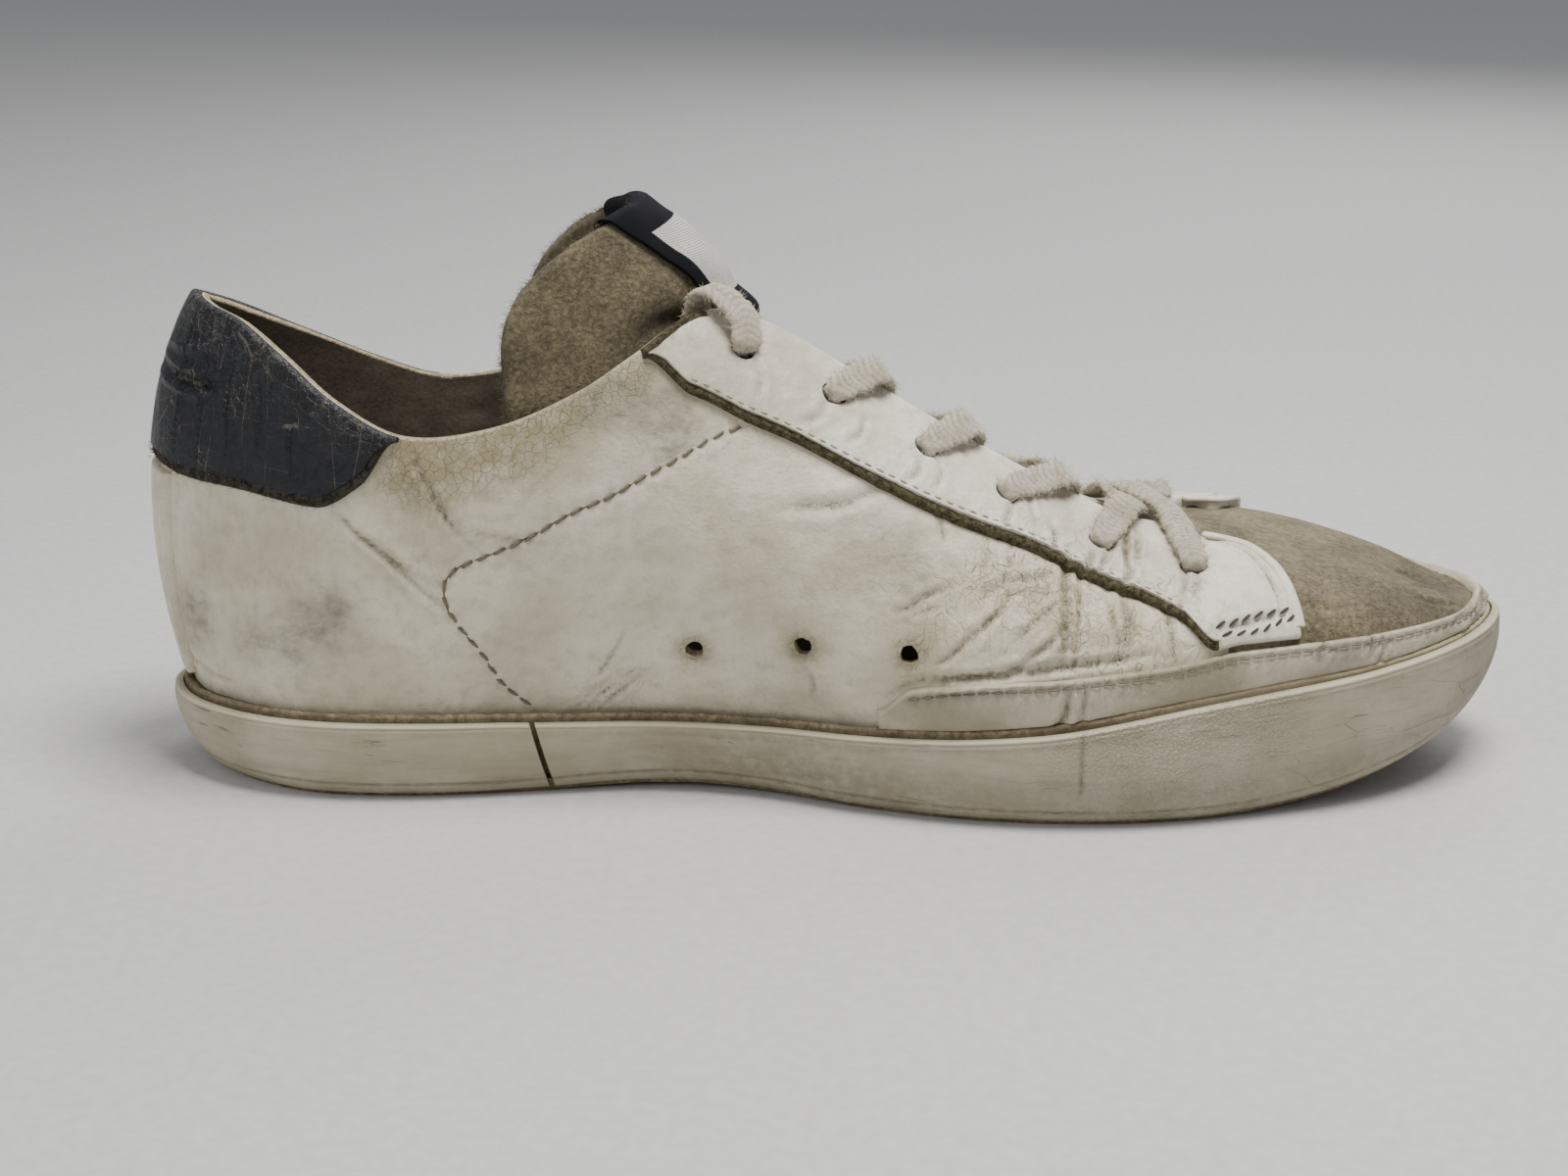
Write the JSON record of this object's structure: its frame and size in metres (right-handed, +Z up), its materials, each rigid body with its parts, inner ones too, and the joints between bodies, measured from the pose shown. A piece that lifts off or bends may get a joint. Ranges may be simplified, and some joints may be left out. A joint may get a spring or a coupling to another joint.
{
  "type": "worn leather low sneaker",
  "caption": "Worn left low lace-up shoe: hollow leather upper open at collar and throat, suede tongue, dark heel tab, punched lacing panels, cotton laces and a rubber cup sole.",
  "frame": {"origin": "floor point under the middle of the heel seat", "axes": "+X towards the toe, +Y towards the outer side of this left shoe, +Z up from the floor"},
  "size_m": [0.2883, 0.1013, 0.1208],
  "materials": {
    "outsole_rubber": "worn matt rubber",
    "midsole_foam": "yellowed matt rubber",
    "foxing_rubber": "pebbled, soiled rubber",
    "insole_cloth": "flattened lining cloth",
    "upper_leather": "creased, soiled white leather",
    "eyestay_leather": "white leather with raw edges",
    "heel_tab_leather": "cracked glossy dark leather",
    "back_strip_leather": "soiled white leather",
    "mudguard_leather": "wrinkled white leather",
    "tongue_suede": "thick napped suede",
    "label_cloth": "woven tape",
    "lace_cotton": "fluffy soiled cotton"
  },
  "bodies": {
    "root": {"outsole": "outsole_rubber", "midsole": "midsole_foam", "foxing": "foxing_rubber", "insole": "insole_cloth", "upper": "upper_leather", "eyestay_medial": "eyestay_leather", "eyestay_lateral": "eyestay_leather", "heel_tab": "heel_tab_leather", "back_strip": "back_strip_leather", "mudguard": "mudguard_leather", "tongue": "tongue_suede", "tongue_label": "label_cloth", "lace_bar": "lace_cotton", "lace_cross_1": "lace_cotton", "lace_cross_2": "lace_cotton", "lace_cross_3": "lace_cotton", "lace_cross_4": "lace_cotton", "lace_cross_5": "lace_cotton", "lace_end_medial": "lace_cotton", "lace_end_lateral": "lace_cotton"}
  },
  "joints": []
}
